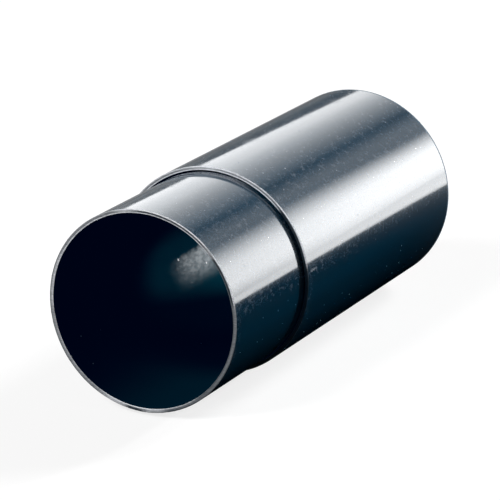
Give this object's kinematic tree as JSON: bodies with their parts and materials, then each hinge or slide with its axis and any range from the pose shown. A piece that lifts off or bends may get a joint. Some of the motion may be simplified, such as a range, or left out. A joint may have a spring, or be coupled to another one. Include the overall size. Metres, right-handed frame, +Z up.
{
  "type": "telescopic wall sleeve",
  "caption": "Telescopic wall sleeve for a duct or fan: a plain round tube that slides in a wider one, to suit the wall's thickness.",
  "frame": {"origin": "on the outer tube's axis, halfway along the outer tube", "axes": "+Z up, Y along both tubes with the inner tube drawn out towards -Y, X across"},
  "size_m": [0.1094, 0.255, 0.1094],
  "materials": {
    "outer_tube": "glossy black extruded plastic with fine lengthwise streaks, saw-cut ends",
    "inner_tube": "glossy black extruded plastic with fine lengthwise streaks, saw-cut ends"
  },
  "bodies": {
    "outer_tube": {"outer_tube": "outer_tube"},
    "inner_tube": {"inner_tube": "inner_tube"}
  },
  "joints": [
    {"name": "tube_slide", "type": "slide", "parent": "outer_tube", "child": "inner_tube", "axis": [0, -1, 0], "range_m": [-0.075, 0.075]}
  ]
}
